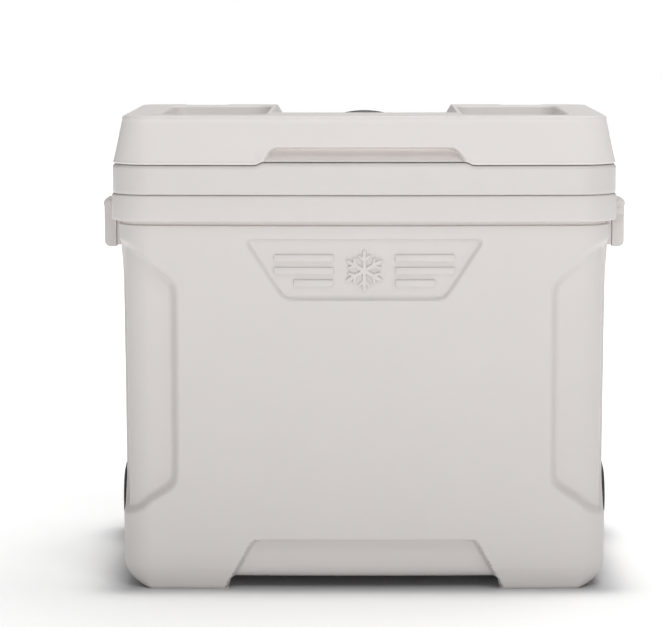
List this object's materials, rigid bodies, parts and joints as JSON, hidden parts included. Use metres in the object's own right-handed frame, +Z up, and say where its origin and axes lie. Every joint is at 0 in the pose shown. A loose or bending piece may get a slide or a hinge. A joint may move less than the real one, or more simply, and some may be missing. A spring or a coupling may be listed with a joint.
{
  "type": "wheeled cooler",
  "caption": "Hard-sided wheeled cooler with a hinged lid, drink trays, side bail handles and a telescoping tow handle.",
  "frame": {"origin": "on the floor, under the middle of the closed cooler's overall box", "axes": "+X to the cooler's right seen from the front, +Y from the front to the tow handle at the back, +Z up"},
  "size_m": [0.4668, 0.336, 0.4175],
  "materials": {
    "shell_white": "satin",
    "liner_white": "satin",
    "insulation": "matte",
    "black_plastic": "satin",
    "button_grey": "satin",
    "wheel_tread": "matte",
    "tube_aluminium": "satin",
    "pin_steel": "satin"
  },
  "bodies": {
    "cooler_body": {"outer_shell": "shell_white", "inner_liner": "liner_white", "body_foam": "insulation", "hinge_bracket_left": "shell_white", "hinge_bracket_right": "shell_white", "hinge_pin_left": "pin_steel", "hinge_pin_right": "pin_steel", "handle_housing": "shell_white", "housing_screws": "pin_steel", "outer_tube_left": "tube_aluminium", "outer_tube_right": "tube_aluminium", "axle": "pin_steel", "axle_bracket_left": "liner_white", "axle_bracket_right": "liner_white", "axle_nut_left": "pin_steel", "axle_nut_right": "pin_steel", "bail_mount_left": "shell_white", "bail_mount_right": "shell_white", "bail_pins_left": "pin_steel", "bail_pins_right": "pin_steel"},
    "lid": {"lid_shell": "shell_white", "lid_liner": "liner_white", "lid_foam": "insulation"},
    "handle_stage_1": {"mid_tube_left": "tube_aluminium", "mid_tube_right": "tube_aluminium", "mid_collar_left": "black_plastic", "mid_collar_right": "black_plastic"},
    "handle_stage_2": {"inner_tube_left": "tube_aluminium", "inner_tube_right": "tube_aluminium", "grip_front": "black_plastic", "grip_back": "black_plastic", "grip_screws": "pin_steel"},
    "grip_button": {"release_button": "button_grey", "release_rod": "pin_steel"},
    "wheel_left": {"tyre_left": "wheel_tread", "wheel_hub_left": "black_plastic"},
    "wheel_right": {"tyre_right": "wheel_tread", "wheel_hub_right": "black_plastic"},
    "side_handle_left": {"bail_left": "shell_white"},
    "side_handle_right": {"bail_right": "shell_white"}
  },
  "joints": [
    {"name": "lid_hinge", "type": "hinge", "parent": "cooler_body", "child": "lid", "pos_m": [0, 0.11135, 0.3965], "axis": [-1, 0, 0], "range_deg": [0, 90]},
    {"name": "handle_stage_1_slide", "type": "slide", "parent": "cooler_body", "child": "handle_stage_1", "axis": [0, 0, 1], "range_m": [0, 0.25]},
    {"name": "handle_stage_2_slide", "type": "slide", "parent": "handle_stage_1", "child": "handle_stage_2", "axis": [0, 0, 1], "range_m": [0, 0.25]},
    {"name": "grip_button_press", "type": "slide", "parent": "handle_stage_2", "child": "grip_button", "axis": [0, 0, 1], "range_m": [0, 0.004], "stiffness_N_per_m": 400, "springref_m": -0.002},
    {"name": "wheel_left_spin", "type": "hinge", "parent": "cooler_body", "child": "wheel_left", "pos_m": [-0.2155, 0.116, 0.038], "axis": [1, 0, 0], "continuous": true},
    {"name": "wheel_right_spin", "type": "hinge", "parent": "cooler_body", "child": "wheel_right", "pos_m": [0.2155, 0.116, 0.038], "axis": [1, 0, 0], "continuous": true},
    {"name": "side_handle_left_swing", "type": "hinge", "parent": "cooler_body", "child": "side_handle_left", "pos_m": [-0.228, -0.018, 0.337], "axis": [0, 1, 0], "range_deg": [0, 105]},
    {"name": "side_handle_right_swing", "type": "hinge", "parent": "cooler_body", "child": "side_handle_right", "pos_m": [0.228, -0.018, 0.337], "axis": [0, -1, 0], "range_deg": [0, 105]}
  ]
}
